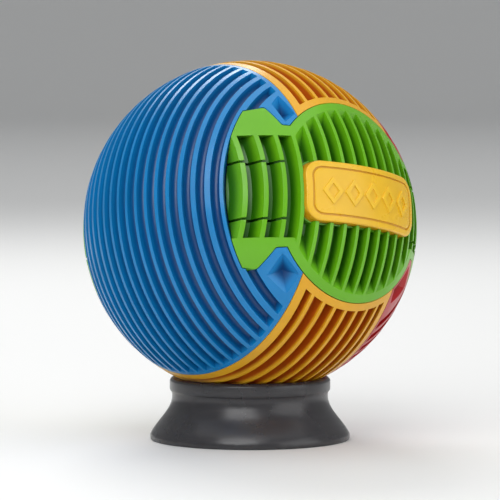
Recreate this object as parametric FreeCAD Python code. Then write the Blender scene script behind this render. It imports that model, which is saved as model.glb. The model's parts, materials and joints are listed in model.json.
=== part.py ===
import FreeCAD, Part

# Puzzle ball of interlocking coloured pieces, lying in its round display stand.
#
# Row frame: millimetres, +Z up, origin at the centre of the stand's foot, front towards -Y.
# The ball is drawn in its own upright frame (x right, front face towards -Y, z up, origin at the
# ball's centre) and then laid in the stand, nodding back and leaning a little.

import math
import os

from FreeCAD import Placement, Rotation, Vector

# ---- driving dimensions, mm and degrees ---------------------------------------------------
BALL_R = 60.0            # over the rib crests
LAYER_R = 46.3           # inside of the coloured outer layer
GAP = 0.3                # parting gap between neighbouring pieces

# how the ball lies in the stand
NOD = 12.3               # the front face looks up by this angle
LEAN = 9.8               # the ball leans about its front axis by this angle

# stand
STAND_H = 22.5
STAND_TOP_R = 29.0
STAND_CHAMFER = 1.0
SEAT_RIM_R = 27.4        # the dished seat reaches out to this radius
SEAT_CLEARANCE = 0.4
BAND_Z = 17.1            # underside of the top band
BAND_STEP = 0.8          # the band stands this far out from the body below it
WAIST_R = 28.5
WAIST_Z = 13.4
FLARE_R = 32.0           # the foot flares through this point
FLARE_Z = 7.6
STAND_FOOT_R = 36.0
FOOT_EDGE_H = 1.8
STAND_BORE_R = 20.0
BORE_H = 8.0             # upright part of the bore, below the top
FOOT_BORE_R = 24.0

# outline of the green pieces, seen along the front axis
DISC_ANGLE = 36.3        # half angle of the round front disc
WING_ANGLE = 52.7        # half angle of the cone that trims the wings
HOOK_SLOPE = 0.22        # fall of a hook's end edge towards the wing's trimmed end

# each wing, as distances from the ball's middle: the outer corner of the notch beside the
# disc, the tip of the hook outside that notch, and the end of the ribbed window
LEFT_WING = {
    "lower": {"notch": (33.0, 19.6), "hook": (36.4, 26.8), "ribs": 16.5},
    "upper": {"notch": (29.0, 23.8), "hook": (31.4, 30.9), "ribs": 19.8},
}
RIGHT_WING = {
    "lower": {"notch": (35.2, 15.8), "hook": (38.6, 23.0), "ribs": 13.0},
    "upper": {"notch": (33.0, 19.6), "hook": (36.4, 26.8), "ribs": 16.5},
}
CORNER_R = 0.8

# ribs that run up the ball, on the green and yellow pieces
RIB_PITCH = 5.36
RIB_W = 1.25
RIB_FLOOR_R = 55.6
RIM_ANGLE = 33.2         # the smooth rim of the disc starts here
DISC_RIBS = 6            # grooves either side of the middle rib
WING_RIBS = (5, 9)       # first groove of a wing, and the one after its last
YELLOW_RIBS = 4
RAMP_SLOPE = 0.25        # rise of the groove ends per mm outwards
WING_RIBS_X = 46.2
YELLOW_FRAME = 2.9       # smooth frame around a yellow piece
YELLOW_FLOOR_R = 56.0
BAND_FROM = 5.0          # the yellow bands are cut off inside the green discs

# side pieces, blue and red
SEAM_X = 22.5            # planes that part the side pieces from the yellow ones
RING_PITCH = 4.5         # ribs that run around the front axis
RING_W = 3.3
RING_DEPTH = 3.2
RINGS_PER_SIDE = 9
RING_EDGE = 1.6          # smooth edge between the ends of the rings and the seam
PIT_DEPTH = 4.0
PIT_SIZE = 0.88          # the pit's share of the tip it is sunk into
PIT_FLOOR = 0.02         # the pit narrows to this share of the tip
PIT_LOW = 0.9            # how far the tip's lowest corner stands above the disc
PIT_SEAM = (1.7, 8.6)    # how far the tip's outline leans out past the seam, in x and in z
PIT_HOOK = (2.4, 2.0)    # how far its outer corner stays off the hook, in x and in z

# hollow build of every coloured piece: a shell, closed inside by a liner
WALL = 3.0
POCKET_R = 52.8          # roof of the hollow under the outer wall
LINER_T = 2.6
LINER_FIT = 0.08
PEG_R = 3.0
PEG_FIT = 0.08
PEG_LENGTH = 6.0
PEG_SPREAD = 13.0        # pegs stand this far either side of a piece's middle
BOSS_R = 5.2

# snap tabs in the wings of the green pieces
TAB_Z = 9.6              # half height
TAB_SLIT = 0.9
TAB_ROOT_RIB = 6         # the tab starts at the inner face of this rib, counted from the middle
TAB_ROOT_GAP = 0.06

# plaque
PLAQUE_X = 26.3
PLAQUE_Z = 10.7
PLAQUE_CORNER = 6.0
PLAQUE_TOP_R = 61.2
PLAQUE_BED_R = 56.4
PLAQUE_FIT = 0.08
KERB_W = 0.6             # low kerb around the plaque's bed
KERB_R = 58.0
PLAQUE_ROUND = 0.7       # rounding of its outer edge
LINE_INSET = 2.1         # engraved border line
LINE_W = 0.7
LINE_DEPTH = 0.5
RELIEF_H = 0.6
RELIEF_PITCH = 8.6
RELIEF_X = 4.0           # half width and half height of a lozenge
RELIEF_Z = 4.8
RELIEF_HOLE_X = 2.1      # and of the hole in it
RELIEF_HOLE_Z = 2.7

# nested layers inside
MIDDLE_R = 46.0
MIDDLE_WALL = 3.0
MIDDLE_BORE_R = 32.3     # the webs of the second layer end on this sphere
INNER_R = 32.0
INNER_WALL = 2.6
INNER_BORE_R = 18.3
CORE_R = 18.0
WEB_T = 2.4
LIP_H = 1.6
LIP_T = 1.2
LIP_FIT = 0.08
WEB_TURN = 30.0          # the first web stands at this angle, the others 60 apart
SOCKET_SPARE = 0.2       # free depth below a peg
SOCKET_FLOOR = 1.3       # thickness of the boss below its socket

FAR = 90.0               # longer than anything that is cut
O = Vector(0, 0, 0)
X = Vector(1, 0, 0)
Y = Vector(0, 1, 0)
Z = Vector(0, 0, 1)


# ---- small helpers ------------------------------------------------------------------------
def sphere(radius):
    return Part.makeSphere(radius)


def block(x0, x1, y0, y1, z0, z1):
    return Part.makeBox(x1 - x0, y1 - y0, z1 - z0, Vector(x0, y0, z0))


def rod(radius, length, base, axis):
    return Part.makeCylinder(radius, length, base, axis)


def hollow(outer_r, inner_r):
    return sphere(outer_r).cut(sphere(inner_r))


def turned(shape, axis, angle):
    copy = shape.copy()
    copy.rotate(O, axis, angle)
    return copy


def mirrored(shape, normal):
    return shape.mirror(O, normal)


def outline(points):
    return Part.makePolygon([Vector(*p) for p in points] + [Vector(*points[0])])


def front_cone(half_angle, inset=0.0):
    """Solid cone about the front axis; a positive inset moves its wall inwards."""
    apex = Vector(0, -inset / math.sin(math.radians(half_angle)), 0)
    return Part.makeCone(0, FAR * math.tan(math.radians(half_angle)), FAR, apex, -Y)


def one_solid(shape):
    """The largest solid of a cut shape, with split faces joined again."""
    largest = max(shape.Solids, key=lambda solid: solid.Volume)
    return largest.removeSplitter()


# ---- regions: unbounded outlines that the coloured pieces are cut to ----------------------
def inset_outline(points, inset):
    """Move every side of a closed, anticlockwise (x, z) outline inwards by the same distance."""
    moved = []
    for before, here, after in zip(points[-1:] + points[:-1], points, points[1:] + points[:1]):
        first = (here - before).normalize()
        second = (after - here).normalize()
        bisector = Vector(-first.z - second.z, 0, first.x + second.x)
        scale = inset * 2 / bisector.dot(bisector)
        moved.append(here + bisector * scale)
    return moved


def wing_outline(wing):
    """Corners of a wing on the right, from below to above: notch, hook and far end, twice."""
    points = []
    for end, sign in (("lower", -1), ("upper", 1)):
        hook_x, hook_z = wing[end]["hook"]
        notch_x, notch_z = wing[end]["notch"]
        far_z = hook_z - HOOK_SLOPE * (FAR - hook_x)
        part = [(notch_x, sign * notch_z), (hook_x, sign * hook_z), (FAR, sign * far_z)]
        points += part[::-sign]
    return points


def wing_prism(inset):
    """The bar with hooked ends that carries both wings, drawn along the front axis."""
    left = [(-x, z) for x, z in reversed(wing_outline(LEFT_WING))]
    points = wing_outline(RIGHT_WING) + left
    corners = inset_outline([Vector(x, 0, z) for x, z in points], inset)
    prism = Part.Face(outline(corners)).extrude(Vector(0, -FAR, 0))
    uprights = [edge for edge in prism.Edges
                if abs(edge.tangentAt(edge.FirstParameter).y) > 0.99
                and abs(edge.Vertexes[0].X) < FAR / 2]
    return prism.makeFillet(CORNER_R, uprights)


def front_region(inset):
    """Front green piece: a round disc with a wing on each side."""
    body = front_cone(DISC_ANGLE, inset).fuse(wing_prism(inset))
    return body.common(front_cone(WING_ANGLE, inset))


def both_green_regions(inset):
    front = front_region(inset)
    return front.fuse(turned(front, Z, 180))


def top_region(inset):
    """Top yellow piece: the band between the seams, over the top of the ball."""
    edge = SEAM_X - GAP / 2 - inset
    band = block(-edge, edge, -FAR, FAR, BAND_FROM, FAR)
    return band.cut(both_green_regions(-GAP - inset))


def bottom_region(inset):
    """Bottom yellow piece: the same band, under the ball."""
    edge = SEAM_X - GAP / 2 - inset
    band = block(-edge, edge, -FAR, FAR, -FAR, -BAND_FROM)
    return band.cut(both_green_regions(-GAP - inset))


def left_region(inset):
    """Left side piece: everything outside the seam that the green pieces leave."""
    edge = SEAM_X + GAP / 2 + inset
    side = block(-FAR, -edge, -FAR, FAR, -FAR, FAR)
    return side.cut(both_green_regions(-GAP - inset))


def hollow_piece(region):
    """Shell of a coloured piece: outer wall and skirt, open towards the ball's centre."""
    shell = region(0).common(hollow(BALL_R, LAYER_R))
    pocket = region(WALL).common(sphere(POCKET_R)).cut(sphere(LAYER_R - 1))
    return shell.cut(pocket)


def liner(region, pegs):
    """Inner plate that closes a shell, with the pegs that plug it into the second layer."""
    plate = region(WALL + LINER_FIT).common(hollow(LAYER_R + LINER_T, LAYER_R))
    return one_solid(plate).fuse(pegs).removeSplitter()


# ---- pegs and their sockets ---------------------------------------------------------------
def peg_places(axis):
    """Feet of the pegs that push in towards the centre along the given outward axis."""
    along = Z if abs(axis.x) > 0.5 else X
    return [along * PEG_SPREAD, along * -PEG_SPREAD]


def pegs_for(axis):
    """Round pegs from inside a liner plate, down into the second layer."""
    low = math.sqrt(MIDDLE_R ** 2 - PEG_SPREAD ** 2) - PEG_LENGTH
    high = math.sqrt(LAYER_R ** 2 - PEG_SPREAD ** 2) + LINER_T / 2
    shapes = []
    for foot in peg_places(axis):
        shapes.append(rod(PEG_R, high - low, foot + axis * low, axis))
    return Part.makeCompound(shapes)


def sockets_for(axis, radius, extra):
    """Rods around a piece's pegs, wider and deeper by what is asked."""
    low = math.sqrt(MIDDLE_R ** 2 - PEG_SPREAD ** 2) - PEG_LENGTH - extra
    shapes = []
    for foot in peg_places(axis):
        shapes.append(rod(radius, FAR, foot + axis * low, axis))
    return shapes


PEG_AXES = [X, -X, Y, -Y, Z, -Z]


# ---- green pieces -------------------------------------------------------------------------
def rib_slots(count, low_z, high_z):
    """Slabs between the upright ribs, one for each groove."""
    slots = []
    for step in range(-count, count):
        start = step * RIB_PITCH + RIB_W / 2
        slots.append(block(start, start + RIB_PITCH - RIB_W, -FAR, FAR, low_z, high_z))
    return slots


def disc_grooves():
    """Grooves of the round disc; their ends ramp up to the smooth rim."""
    rim = math.radians(RIM_ANGLE)
    apex = BALL_R * math.cos(rim) - RAMP_SLOPE * BALL_R * math.sin(rim)
    height = FAR * RAMP_SLOPE
    ramp = Part.makeCone(0, FAR, height, Vector(0, -apex, 0), -Y)
    ramp = ramp.fuse(rod(FAR, FAR, Vector(0, -apex - height, 0), -Y)).cut(sphere(RIB_FLOOR_R))
    slots = Part.makeCompound(rib_slots(DISC_RIBS, -FAR, FAR))
    return ramp.common(slots)


def wing_grooves():
    """Grooves of the ribbed window in each wing, and the long groove beside the disc."""
    cutters = []
    for step in range(*WING_RIBS):
        start = step * RIB_PITCH + RIB_W / 2
        end = min(start + RIB_PITCH - RIB_W, WING_RIBS_X)
        for wing, x0, x1 in ((RIGHT_WING, start, end), (LEFT_WING, -end, -start)):
            cutters.append(block(x0, x1, -FAR, 0, -wing["lower"]["ribs"], wing["upper"]["ribs"]))
    return Part.makeCompound(cutters).cut(sphere(RIB_FLOOR_R))


def tab_window(slit, root_gap):
    """Room for the two snap tabs of the front green piece, widened by the gaps around them."""
    half = TAB_Z + slit
    root = TAB_ROOT_RIB * RIB_PITCH - RIB_W / 2 - root_gap
    room = [block(root, FAR, -FAR, 0, -half, half), block(-FAR, -root, -FAR, 0, -half, half)]
    return Part.makeCompound(room).cut(sphere(POCKET_R))


def plaque_prism(inset):
    x = PLAQUE_X - inset
    z = PLAQUE_Z - inset
    prism = block(-x, x, -FAR, 0, -z, z)
    uprights = [edge for edge in prism.Edges if abs(edge.tangentAt(0).y) > 0.9]
    return prism.makeFillet(PLAQUE_CORNER - inset, uprights)


def green_parts():
    """Shell, liner, plaque and the left and right snap tabs of the front green piece."""
    whole = hollow_piece(front_region)
    whole = whole.cut(disc_grooves()).cut(wing_grooves())
    bed = plaque_prism(-PLAQUE_FIT).cut(sphere(PLAQUE_BED_R))
    kerb = plaque_prism(-KERB_W).common(hollow(KERB_R, POCKET_R))
    whole = whole.fuse(kerb).cut(bed)
    shell = one_solid(whole.cut(tab_window(TAB_SLIT, TAB_ROOT_GAP)))
    tabs = whole.common(tab_window(0, 0))
    left = one_solid(tabs.common(block(-FAR, 0, -FAR, 0, -FAR, FAR)))
    right = one_solid(tabs.common(block(0, FAR, -FAR, 0, -FAR, FAR)))
    return {"shell": shell, "liner": liner(front_region, pegs_for(-Y)), "plaque": plaque(),
            "left_latch": left, "right_latch": right}


def plaque():
    """Raised plate in the middle of the disc, with a border line and a row of plain lozenges."""
    plate = plaque_prism(0).common(hollow(PLAQUE_TOP_R, PLAQUE_BED_R + PLAQUE_FIT))
    rim = [edge for edge in plate.Edges
           if all(abs(corner.Point.Length - PLAQUE_TOP_R) < 0.01 for corner in edge.Vertexes)]
    plate = plate.makeFillet(PLAQUE_ROUND, rim)
    line = plaque_prism(LINE_INSET).cut(plaque_prism(LINE_INSET + LINE_W))
    plate = plate.cut(line.cut(sphere(PLAQUE_TOP_R - LINE_DEPTH)))
    return one_solid(plate.fuse(relief()))


def lozenge(x, half_w, half_h):
    corners = [(x - half_w, 0, 0), (x, 0, -half_h), (x + half_w, 0, 0), (x, 0, half_h)]
    return Part.Face(outline(corners)).extrude(Vector(0, -FAR, 0))


def relief():
    """Lozenge rings in a row, the plaque's plain ornament."""
    rings = []
    for step in range(-2, 3):
        x = step * RELIEF_PITCH
        rings.append(lozenge(x, RELIEF_X, RELIEF_Z).cut(lozenge(x, RELIEF_HOLE_X, RELIEF_HOLE_Z)))
    return Part.makeCompound(rings).common(hollow(PLAQUE_TOP_R + RELIEF_H, PLAQUE_TOP_R - 1))


# ---- yellow pieces ------------------------------------------------------------------------
def yellow_parts(region, pegs):
    """Shell and liner of a yellow piece: thin ribs inside a smooth frame."""
    slots = Part.makeCompound(rib_slots(YELLOW_RIBS, -FAR, FAR))
    grooves = region(YELLOW_FRAME).common(slots).cut(sphere(YELLOW_FLOOR_R))
    shell = hollow_piece(region).cut(grooves)
    return {"shell": one_solid(shell), "liner": liner(region, pegs)}


# ---- side pieces --------------------------------------------------------------------------
def ring_groove(level):
    """A round-bottomed groove that runs around the front axis at one distance along it."""
    angle = math.acos(level / BALL_R)
    out = Vector(math.sin(angle), -math.cos(angle), 0)
    side = Vector(math.cos(angle), math.sin(angle), 0) * (RING_W / 2)
    top = out * (BALL_R + 2)
    low = out * (BALL_R - RING_DEPTH + RING_W / 2)
    bottom = out * (BALL_R - RING_DEPTH)
    edges = [Part.LineSegment(top - side, low - side).toShape(),
             Part.Arc(low - side, bottom, low + side).toShape(),
             Part.LineSegment(low + side, top + side).toShape(),
             Part.LineSegment(top + side, top - side).toShape()]
    return Part.Face(Part.Wire(edges)).revolve(O, Y, 360)


def tip_pits(wing, front):
    """Four-sided pits in the two hooked tips of the left side piece that clasp this wing."""
    return [tip_pit(front, wing["lower"]["notch"], wing["lower"]["hook"], -1),
            tip_pit(front, wing["upper"]["notch"], wing["upper"]["hook"], 1)]


def tip_pit(front, notch, hook, up):
    """One four-sided pit, sunk along the ball's radius."""
    disc_r = BALL_R * math.sin(math.radians(DISC_ANGLE))
    seam_z = math.sqrt(disc_r ** 2 - SEAM_X ** 2)
    beside_disc = ((notch[0] + math.sqrt(disc_r ** 2 - notch[1] ** 2)) / 2, notch[1])
    beside_seam = (SEAM_X + PIT_SEAM[0], (seam_z + hook[1]) / 2 + PIT_SEAM[1])
    above_hook = (hook[0] - PIT_HOOK[0], hook[1] + PIT_HOOK[1])
    corners = [beside_disc, (SEAM_X, seam_z + PIT_LOW), beside_seam, above_hook]
    middle_x = sum(x for x, _ in corners) / len(corners)
    middle_z = sum(z for _, z in corners) / len(corners)

    def direction(x, z):
        return Vector(-x, -front * math.sqrt(BALL_R ** 2 - x * x - z * z), up * z).normalize()

    axis = direction(middle_x, middle_z)

    def ring(height, size):
        """The tip's outline, flat across the axis, shrunk towards it."""
        points = []
        for x, z in corners + corners[:1]:
            spot = direction(x, z)
            across = spot * (1 / spot.dot(axis)) - axis
            points.append(axis * height + across * (BALL_R * size))
        return Part.makePolygon(points)

    pit = Part.makeLoft([ring(BALL_R, PIT_SIZE), ring(BALL_R - PIT_DEPTH, PIT_FLOOR)], True)
    mouth = Part.Face(ring(BALL_R, PIT_SIZE)).extrude(axis * PIT_DEPTH)
    return pit.fuse(mouth)


def side_parts():
    """Shell and liner of the left side piece."""
    shell = hollow_piece(left_region)
    zone = block(-FAR, -SEAM_X - RING_EDGE, -FAR, FAR, -FAR, FAR)
    rings = []
    for step in range(-RINGS_PER_SIDE, RINGS_PER_SIDE):
        rings.append(ring_groove((step + 0.5) * RING_PITCH))
    shell = shell.cut(Part.makeCompound(rings).common(zone))
    pits = tip_pits(LEFT_WING, 1) + tip_pits(RIGHT_WING, -1)
    shell = shell.cut(Part.makeCompound(pits))
    return {"shell": one_solid(shell), "liner": liner(left_region, pegs_for(-X))}


# ---- nested layers ------------------------------------------------------------------------
def layer_halves(outer_r, wall, bore_r, bosses, holes):
    """The two halves of a hollow layer with webs, parted at z = 0 with a lip in a rebate."""
    web_room = hollow(outer_r - wall / 2, bore_r)
    inside = []
    for turn in range(3):
        slab = block(-WEB_T / 2, WEB_T / 2, -FAR, FAR, -FAR, FAR)
        inside.append(turned(slab, Z, WEB_TURN + 60 * turn))
    inside = [shape.common(web_room) for shape in inside + bosses]
    whole = hollow(outer_r, outer_r - wall).fuse(inside)
    if holes:
        whole = whole.cut(Part.makeCompound(holes))
    plain = whole.common(block(-FAR, FAR, -FAR, FAR, 0, FAR))
    inner_r = outer_r - wall
    lip = rod(inner_r + LIP_T, LIP_H, Z * -LIP_H, Z).cut(rod(inner_r, FAR, Z * -FAR / 2, Z))
    rebate_h = LIP_H + LIP_FIT
    rebate = rod(inner_r + LIP_T + LIP_FIT, rebate_h, Z * -rebate_h, Z)
    return one_solid(plain.fuse(lip)), one_solid(mirrored(plain, Z).cut(rebate))


def middle_halves():
    """Second layer: left and right half shells with webs and the sockets for the pegs."""
    bosses = []
    holes = []
    for axis in PEG_AXES:
        bosses += sockets_for(axis, BOSS_R, SOCKET_SPARE + SOCKET_FLOOR)
        holes += sockets_for(axis, PEG_R + PEG_FIT, SOCKET_SPARE)
    bosses = [turned(boss, Y, 90) for boss in bosses]
    holes = [turned(hole, Y, 90) for hole in holes]
    upper, lower = layer_halves(MIDDLE_R, MIDDLE_WALL, MIDDLE_BORE_R, bosses, holes)
    return {"middle_half_left": turned(upper, Y, -90), "middle_half_right": turned(lower, Y, -90)}


def inner_halves():
    """Third layer: upper and lower half shells with webs that bear on the core."""
    upper, lower = layer_halves(INNER_R, INNER_WALL, INNER_BORE_R, [], [])
    return {"inner_half_upper": upper, "inner_half_lower": lower}


# ---- stand --------------------------------------------------------------------------------
def ball_centre_height():
    seat_r = BALL_R + SEAT_CLEARANCE
    return STAND_H + math.sqrt(seat_r ** 2 - SEAT_RIM_R ** 2)


def stand_ring():
    """Spool-shaped ring: top band with a step, drawn-in waist, wide foot, dished seat."""
    inner_foot = Vector(FOOT_BORE_R, 0, 0)
    foot = Vector(STAND_FOOT_R, 0, 0)
    foot_edge = Vector(STAND_FOOT_R, 0, FOOT_EDGE_H)
    under_band = Vector(STAND_TOP_R - BAND_STEP, 0, BAND_Z)
    flare = Part.BSplineCurve()
    flare.interpolate([foot_edge, Vector(FLARE_R, 0, FLARE_Z), Vector(WAIST_R, 0, WAIST_Z), under_band])
    upper = [under_band,
             Vector(STAND_TOP_R, 0, BAND_Z + BAND_STEP),
             Vector(STAND_TOP_R, 0, STAND_H - STAND_CHAMFER),
             Vector(STAND_TOP_R - STAND_CHAMFER, 0, STAND_H),
             Vector(STAND_BORE_R, 0, STAND_H),
             Vector(STAND_BORE_R, 0, STAND_H - BORE_H),
             inner_foot]
    edges = [Part.LineSegment(inner_foot, foot).toShape(),
             Part.LineSegment(foot, foot_edge).toShape(),
             flare.toShape()]
    for start, end in zip(upper, upper[1:]):
        edges.append(Part.LineSegment(start, end).toShape())
    ring = Part.Face(Part.Wire(edges)).revolve(O, Z, 360)
    seat = sphere(BALL_R + SEAT_CLEARANCE)
    seat.translate(Z * ball_centre_height())
    return one_solid(ring.cut(seat))


# ---- assembly -----------------------------------------------------------------------------
def lay_ball(shape):
    """Move a piece of the ball from its upright frame to where it lies in the stand."""
    lean = Rotation(Y, LEAN)
    nod = Rotation(X, -NOD)
    place = Placement(Z * ball_centre_height(), nod.multiply(lean))
    placed = shape.copy()
    placed.transformShape(place.toMatrix(), True)
    return placed


def ball_nodes():
    nodes = {"core_ball": sphere(CORE_R)}
    nodes.update(middle_halves())
    nodes.update(inner_halves())
    for part, shape in green_parts().items():
        names = {"left_latch": ("front_left_latch", "back_right_latch"),
                 "right_latch": ("front_right_latch", "back_left_latch")}
        front, back = names.get(part, ("front_green_" + part, "back_green_" + part))
        nodes[front] = shape
        nodes[back] = turned(shape, Z, 180)
    for end, region, axis in (("top", top_region, Z), ("bottom", bottom_region, -Z)):
        for part, shape in yellow_parts(region, pegs_for(axis)).items():
            nodes[end + "_yellow_" + part] = shape
    for part, shape in side_parts().items():
        nodes["left_blue_" + part] = shape
        nodes["right_red_" + part] = turned(shape, Z, 180)
    return nodes


def main():
    os.makedirs("parts", exist_ok=True)
    nodes = {name: lay_ball(shape) for name, shape in ball_nodes().items()}
    nodes["stand_ring"] = stand_ring()
    for name, shape in nodes.items():
        shape.exportStep("parts/" + name + ".step")


main()
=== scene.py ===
import json
import math

import bpy
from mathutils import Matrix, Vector


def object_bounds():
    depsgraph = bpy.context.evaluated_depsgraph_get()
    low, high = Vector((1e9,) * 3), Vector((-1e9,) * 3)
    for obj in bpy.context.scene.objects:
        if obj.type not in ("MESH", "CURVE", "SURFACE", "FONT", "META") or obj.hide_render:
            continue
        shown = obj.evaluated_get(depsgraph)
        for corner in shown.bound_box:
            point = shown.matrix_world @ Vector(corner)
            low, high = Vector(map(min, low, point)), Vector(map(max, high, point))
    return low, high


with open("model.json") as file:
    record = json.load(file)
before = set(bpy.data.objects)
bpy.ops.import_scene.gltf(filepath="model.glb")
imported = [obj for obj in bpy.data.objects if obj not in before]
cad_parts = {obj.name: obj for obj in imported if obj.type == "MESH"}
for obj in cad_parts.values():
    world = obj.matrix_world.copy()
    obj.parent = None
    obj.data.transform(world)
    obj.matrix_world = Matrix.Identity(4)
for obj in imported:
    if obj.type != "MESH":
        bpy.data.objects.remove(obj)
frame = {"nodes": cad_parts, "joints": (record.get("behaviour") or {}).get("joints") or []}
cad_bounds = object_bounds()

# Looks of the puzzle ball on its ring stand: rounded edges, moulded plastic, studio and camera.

MM = 0.001
CENTRE = Vector(next(joint["pos_m"] for joint in frame["joints"] if joint["name"] == "ball_turn"))

# ---- colours, as sRGB bytes: the plastic's own colour on the crests, and a darker painted shade down in the grooves ---
GREEN = (100, 172, 14)
GREEN_PAINTED_SHADE = (44, 108, 6)
YELLOW = (222, 164, 26)
YELLOW_PAINTED_SHADE = (186, 88, 14)
PLAQUE = (232, 186, 36)
PLAQUE_PAINTED_SHADE = (208, 152, 20)
BLUE = (6, 124, 188)
BLUE_PAINTED_SHADE = (3, 66, 124)
RED = (172, 10, 18)
RED_PAINTED_SHADE = (104, 4, 10)
ORANGE = (226, 104, 22)
ORANGE_PAINTED_SHADE = (150, 56, 8)
TEAL = (22, 150, 146)
TEAL_PAINTED_SHADE = (8, 92, 92)
PINK = (214, 40, 110)
PINK_PAINTED_SHADE = (150, 18, 70)

# linear colours
SHADE = (0.80, 0.80, 0.80, 1)        # multiplies the colour in the cloudy patches
RUBBED = (0.9, 0.9, 0.85, 1)
SMOKE_DARK = (0.044, 0.043, 0.048, 1)
SMOKE_LIGHT = (0.056, 0.054, 0.060, 1)
FLOOR_COLOUR = (0.82, 0.82, 0.81, 1)
SKY_COLOUR = (0.90, 0.92, 0.95, 1)

# ---- distances from the ball's centre over which a piece's painted shade fades into its own colour, mm ---
GREEN_SHADE_DEPTHS = (56.4, 59.7)
YELLOW_SHADE_DEPTHS = (58.6, 59.8)
SIDE_SHADE_DEPTHS = (56.6, 59.4)
PLAQUE_SHADE_DEPTHS = (60.6, 61.4)
MIDDLE_SHADE_DEPTHS = (40, 45.5)
INNER_SHADE_DEPTHS = (26, 31.5)
CORE_SHADE_DEPTHS = (15, 17.5)
CREST_DEPTHS = (59.1, 59.9)          # where the crests are rubbed

# ---- surface of the moulded plastic; scales are noise waves per metre ----------------------
GLOSS = 0.34
PLAQUE_GLOSS = 0.30
GLOSS_BELOW = 0.05
GLOSS_ABOVE = 0.07
MOTTLING = 0.40
CLOUD_SCALE = 55.0
GRAIN_SCALE = 900.0
SCUFF_SCALE = 420.0
PEEL_SCALE = 260.0
WEAR = 0.22
RUBBED_SHARE = 0.45
GRAIN_SHARE = 0.25
PEEL_STRENGTH = 0.35
PEEL_HEIGHT = 0.06 * MM
SUBSURFACE = 0.12
SUBSURFACE_TINT = (1.0, 0.8, 0.4)
SUBSURFACE_DEPTH = 1.2 * MM
PLASTIC_IOR = 1.5

# ---- rounded edges -------------------------------------------------------------------------
EDGE = 0.25 * MM
PLAQUE_EDGE = 0.2 * MM
STAND_EDGE = 0.5 * MM
EDGE_SEGMENTS = 2
EDGE_ANGLE = 32                      # edges sharper than this are rounded, degrees
WELD = 0.002 * MM

# ---- studio, metres and watts --------------------------------------------------------------
FLOOR_R = 6.0
SWEEP_R = 2.5
WALL_H = 5.0
SWEEP_STEPS = 16
FLOOR_SIDES = 96
FLOOR_GLOSS = 0.6
SKY_STRENGTH = 0.34
LIGHTS = [
    # name, place, size, power
    ("key", (-1.0, -0.55, 0.95), (1.0, 1.0), 11),
    ("fill", (0.35, -1.2, 0.45), (1.2, 1.2), 6),
    ("back", (0.5, 0.9, 1.0), (0.7, 0.5), 7),
    ("ceiling", (0.0, 0.0, 4.5), (6.0, 6.0), 100),
]
CAMERA_AZIMUTH = -45.4               # the viewer stands left of the front axis
CAMERA_ELEVATION = 3.0               # and a little above the ball's centre
CAMERA_DISTANCE = 1.16
CAMERA_LENS = 232


def linear(colour):
    """sRGB bytes as a linear colour with alpha 1."""
    values = []
    for byte in colour:
        c = byte / 255
        values.append(c / 12.92 if c <= 0.04045 else ((c + 0.055) / 1.055) ** 2.4)
    return (*values, 1.0)


# ---- node material helpers -----------------------------------------------------------------
class Nodes:
    """A material's node tree with short calls for the nodes used here."""

    def __init__(self, name):
        self.material = bpy.data.materials.new(name)
        self.material.use_nodes = True
        self.tree = self.material.node_tree
        self.shader = self.tree.nodes["Principled BSDF"]

    def add(self, kind, inputs=None, **settings):
        """Add a node; an input is either a constant or another node's output."""
        node = self.tree.nodes.new(kind)
        for key, value in settings.items():
            setattr(node, key, value)
        for key, value in (inputs or {}).items():
            if isinstance(value, bpy.types.NodeSocket):
                self.tree.links.new(value, node.inputs[key])
            else:
                node.inputs[key].default_value = value
        return node

    def link(self, output, socket_name):
        self.tree.links.new(output, self.shader.inputs[socket_name])

    def set(self, **values):
        """Constants on the shader; underscores in the names stand for spaces."""
        for key, value in values.items():
            self.shader.inputs[key.replace("_", " ")].default_value = value

    def ramp(self, value, low, high, out_low=0.0, out_high=1.0):
        """Smooth step from out_low to out_high as the value goes from low to high."""
        node = self.add("ShaderNodeMapRange", {0: value, 1: low, 2: high, 3: out_low, 4: out_high},
                        interpolation_type="SMOOTHSTEP")
        return node.outputs[0]

    def mix(self, factor, first, second, blend="MIX"):
        node = self.add("ShaderNodeMix", {0: factor, 6: first, 7: second},
                        data_type="RGBA", blend_type=blend)
        return node.outputs[2]

    def maths(self, operation, first, second):
        return self.add("ShaderNodeMath", {0: first, 1: second}, operation=operation).outputs[0]

    def noise(self, position, scale, detail, rough):
        node = self.add("ShaderNodeTexNoise", {"Vector": position, "Scale": scale,
                                               "Detail": detail, "Roughness": rough})
        return node.outputs["Fac"]

    def bump(self, height, strength, distance):
        node = self.add("ShaderNodeBump", {"Strength": strength, "Distance": distance,
                                           "Height": height})
        self.link(node.outputs[0], "Normal")


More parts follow.
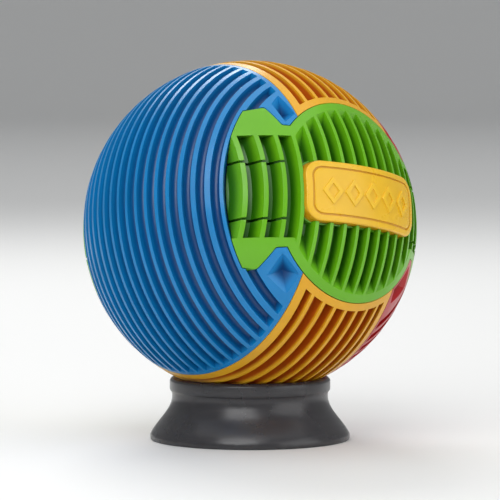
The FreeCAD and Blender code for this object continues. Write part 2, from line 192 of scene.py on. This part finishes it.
def moulded_plastic(name, crest, floor, shade_depths, gloss=GLOSS):
    """Satin moulded plastic: its own colour on the crests outside, with a darker colour painted in
    as shade down in the grooves and on deeper-lying faces.
    """
    n = Nodes(name)
    position = n.add("ShaderNodeTexCoord").outputs["Object"]
    away = n.add("ShaderNodeVectorMath", {0: position, 1: CENTRE}, operation="SUBTRACT")
    radius = n.add("ShaderNodeVectorMath", {0: away.outputs[0]}, operation="LENGTH").outputs[1]
    # painted shade: below these distances from the centre the colour darkens to the shade colour,
    # so grooves and deeper faces look shaded
    height = n.ramp(radius, shade_depths[0] * MM, shade_depths[1] * MM)

    # colour: the painted groove shade, with cloudy darker patches
    cloud = n.noise(position, CLOUD_SCALE, 4.0, 0.55)
    body = n.mix(height, linear(floor), linear(crest))
    darker = n.mix(1.0, body, SHADE, "MULTIPLY")
    body = n.mix(n.ramp(cloud, 0.35, 0.70, 0.0, MOTTLING), body, darker)

    # fine rubbing on the crests: paler, rougher hairlines
    stretched = n.add("ShaderNodeMapping", {"Vector": position, "Scale": (1.0, 1.0, 9.0),
                                            "Rotation": (0.4, 0.2, 0.7)}).outputs[0]
    scuffs = n.ramp(n.noise(stretched, SCUFF_SCALE, 5.0, 0.7), 0.66, 0.78)
    on_crest = n.ramp(radius, CREST_DEPTHS[0] * MM, CREST_DEPTHS[1] * MM)
    wear = n.maths("MULTIPLY", n.maths("MULTIPLY", scuffs, on_crest), WEAR)
    pale = n.mix(RUBBED_SHARE, body, RUBBED)
    n.link(n.mix(wear, body, pale), "Base Color")

    rough = n.ramp(cloud, 0.30, 0.75, gloss - GLOSS_BELOW, gloss + GLOSS_ABOVE)
    n.link(n.maths("ADD", rough, wear), "Roughness")

    # slight orange peel with a finer grain on it
    peel = n.noise(position, PEEL_SCALE, 2.0, 0.5)
    grain = n.ramp(n.noise(position, GRAIN_SCALE, 2.0, 0.6), 0, 1, 0, GRAIN_SHARE)
    n.bump(n.maths("ADD", peel, grain), PEEL_STRENGTH, PEEL_HEIGHT)

    n.set(Subsurface_Weight=SUBSURFACE, Subsurface_Radius=SUBSURFACE_TINT,
          Subsurface_Scale=SUBSURFACE_DEPTH, IOR=PLASTIC_IOR)
    return n.material


def smoky_plastic(name):
    """Tinted dark grey plastic that lets a little light through, with faint flow lines."""
    n = Nodes(name)
    position = n.add("ShaderNodeTexCoord").outputs["Object"]
    flow = n.add("ShaderNodeMapping", {"Vector": position, "Scale": (1, 1, 6)}).outputs[0]
    streak = n.noise(flow, 70.0, 4.0, 0.6)
    n.link(n.mix(n.ramp(streak, 0.35, 0.7), SMOKE_DARK, SMOKE_LIGHT), "Base Color")
    cloud = n.noise(position, 40.0, 5.0, 0.6)
    n.link(n.ramp(cloud, 0.3, 0.75, 0.24, 0.31), "Roughness")
    n.bump(n.noise(position, 350.0, 2.0, 0.5), 0.15, 0.03 * MM)
    n.set(Transmission_Weight=0.35, IOR=1.49)
    return n.material


# ---- rounded edges on the moulded pieces ---------------------------------------------------
def round_edges(obj, width):
    """Weld the imported mesh and round its moulded edges; the CAD mesh itself stays as it is."""
    weld = obj.modifiers.new("weld", "WELD")
    weld.merge_threshold = WELD
    bevel = obj.modifiers.new("edges", "BEVEL")
    bevel.width = width
    bevel.segments = EDGE_SEGMENTS
    bevel.limit_method = "ANGLE"
    bevel.angle_limit = math.radians(EDGE_ANGLE)
    bevel.use_clamp_overlap = True
    bevel.harden_normals = False
    normals = obj.modifiers.new("normals", "WEIGHTED_NORMAL")
    normals.keep_sharp = False


def dress(nodes, material, width=EDGE):
    """Give the nodes their material and, unless the width is 0, rounded edges."""
    for name in nodes:
        obj = frame["nodes"][name]
        obj.data.materials.clear()
        obj.data.materials.append(material)
        for polygon in obj.data.polygons:
            polygon.material_index = 0
        if width:
            round_edges(obj, width)


# ---- the pieces ----------------------------------------------------------------------------
def names(piece, parts):
    return [f"{piece}_{part}" for part in parts]


def dress_pieces():
    # each piece's second colour is painted shade for its grooves and deeper faces
    green = moulded_plastic("green_plastic", GREEN, GREEN_PAINTED_SHADE, GREEN_SHADE_DEPTHS)
    yellow = moulded_plastic("yellow_plastic", YELLOW, YELLOW_PAINTED_SHADE, YELLOW_SHADE_DEPTHS)
    blue = moulded_plastic("blue_plastic", BLUE, BLUE_PAINTED_SHADE, SIDE_SHADE_DEPTHS)
    red = moulded_plastic("red_plastic", RED, RED_PAINTED_SHADE, SIDE_SHADE_DEPTHS)
    plaque = moulded_plastic("plaque_plastic", PLAQUE, PLAQUE_PAINTED_SHADE, PLAQUE_SHADE_DEPTHS, PLAQUE_GLOSS)
    orange = moulded_plastic("orange_plastic", ORANGE, ORANGE_PAINTED_SHADE, MIDDLE_SHADE_DEPTHS)
    teal = moulded_plastic("teal_plastic", TEAL, TEAL_PAINTED_SHADE, INNER_SHADE_DEPTHS)
    pink = moulded_plastic("pink_plastic", PINK, PINK_PAINTED_SHADE, CORE_SHADE_DEPTHS)
    smoke = smoky_plastic("smoke_plastic")

    shell = ["shell", "liner"]
    for end in ("front", "back"):
        dress(names(end + "_green", shell), green)
        dress(names(end, ["left_latch", "right_latch"]), green)
        dress([end + "_green_plaque"], plaque, PLAQUE_EDGE)
    for end in ("top", "bottom"):
        dress(names(end + "_yellow", shell), yellow)
    dress(names("left_blue", shell), blue)
    dress(names("right_red", shell), red)
    dress(names("middle_half", ["left", "right"]), orange)
    dress(names("inner_half", ["upper", "lower"]), teal)
    dress(["core_ball"], pink, 0)
    dress(["stand_ring"], smoke, STAND_EDGE)


# ---- studio --------------------------------------------------------------------------------
def floor():
    """A pale round floor that sweeps up into a low wall, so that no horizon shows."""
    profile = [(0.0, 0.0)]
    for step in range(SWEEP_STEPS + 1):
        angle = math.pi / 2 * step / SWEEP_STEPS
        profile.append((FLOOR_R + SWEEP_R * math.sin(angle), SWEEP_R * (1 - math.cos(angle))))
    profile.append((FLOOR_R + SWEEP_R, WALL_H))
    points = [(0.0, 0.0, 0.0)]
    for radius, height in profile[1:]:
        for side in range(FLOOR_SIDES):
            angle = 2 * math.pi * side / FLOOR_SIDES
            points.append((radius * math.cos(angle), radius * math.sin(angle), height))
    faces = []
    for side in range(FLOOR_SIDES):
        after = (side + 1) % FLOOR_SIDES
        faces.append((0, 1 + side, 1 + after))
        for ring in range(len(profile) - 2):
            low = 1 + ring * FLOOR_SIDES
            high = low + FLOOR_SIDES
            faces.append((low + side, high + side, high + after, low + after))
    mesh = bpy.data.meshes.new("floor")
    mesh.from_pydata(points, [], faces)
    for polygon in mesh.polygons:
        polygon.use_smooth = True
    obj = bpy.data.objects.new("floor", mesh)
    bpy.context.scene.collection.objects.link(obj)
    n = Nodes("pale_floor")
    n.set(Base_Color=FLOOR_COLOUR, Roughness=FLOOR_GLOSS)
    mesh.materials.append(n.material)


def soft_light(name, place, size, power):
    """A rectangular soft box that faces the ball and isn't seen itself."""
    light = bpy.data.lights.new(name, "AREA")
    light.shape = "RECTANGLE"
    light.size, light.size_y = size
    light.energy = power
    obj = bpy.data.objects.new(name, light)
    obj.location = place
    obj.rotation_euler = (CENTRE - Vector(place)).to_track_quat("-Z", "Y").to_euler()
    obj.visible_camera = False
    bpy.context.scene.collection.objects.link(obj)


def studio():
    scene = bpy.context.scene
    scene.view_settings.view_transform = "Standard"
    scene.world = bpy.data.worlds.new("studio")
    scene.world.use_nodes = True
    sky = scene.world.node_tree.nodes["Background"]
    sky.inputs["Color"].default_value = SKY_COLOUR
    sky.inputs["Strength"].default_value = SKY_STRENGTH
    for light in LIGHTS:
        soft_light(*light)


def camera():
    azimuth = math.radians(CAMERA_AZIMUTH)
    elevation = math.radians(CAMERA_ELEVATION)
    data = bpy.data.cameras.new("camera")
    data.lens = CAMERA_LENS
    obj = bpy.data.objects.new("camera", data)
    away = Vector((math.sin(azimuth) * math.cos(elevation),
                   -math.cos(azimuth) * math.cos(elevation), math.sin(elevation)))
    obj.location = CENTRE + away * CAMERA_DISTANCE
    middle = (cad_bounds[0][2] + cad_bounds[1][2]) / 2
    target = Vector((CENTRE.x, CENTRE.y, middle))
    obj.rotation_euler = (target - obj.location).to_track_quat("-Z", "Y").to_euler()
    bpy.context.scene.collection.objects.link(obj)
    bpy.context.scene.camera = obj


dress_pieces()
floor()
studio()
camera()
